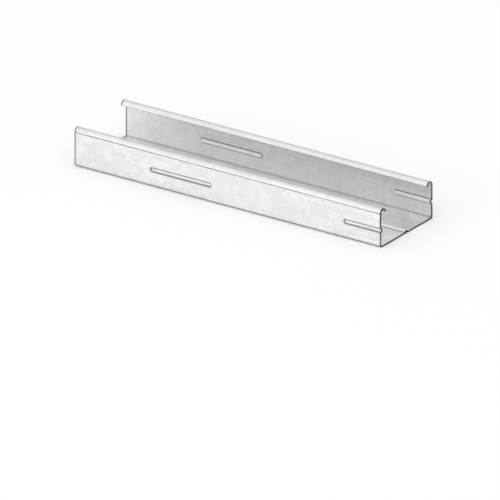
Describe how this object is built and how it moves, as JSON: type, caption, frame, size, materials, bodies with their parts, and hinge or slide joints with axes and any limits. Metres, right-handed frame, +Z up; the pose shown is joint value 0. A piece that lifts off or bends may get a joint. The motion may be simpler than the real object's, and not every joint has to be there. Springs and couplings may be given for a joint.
{
  "type": "ceiling channel",
  "caption": "Short C-shaped ceiling channel rolled from zinc-coated steel sheet, with curled lips, a groove along its web and short beads pressed into both flanges.",
  "frame": {"origin": "middle of the channel's length and width, on the underside of its web", "axes": "+X along the channel, Y across it, +Z up out of its open mouth"},
  "size_m": [0.242, 0.06, 0.027],
  "materials": {
    "zinc_coated_steel": "satin, hot-dip zinc coating with a fine grain and faint rolling marks"
  },
  "bodies": {
    "root": {"ceiling_channel": "zinc_coated_steel"}
  },
  "joints": []
}
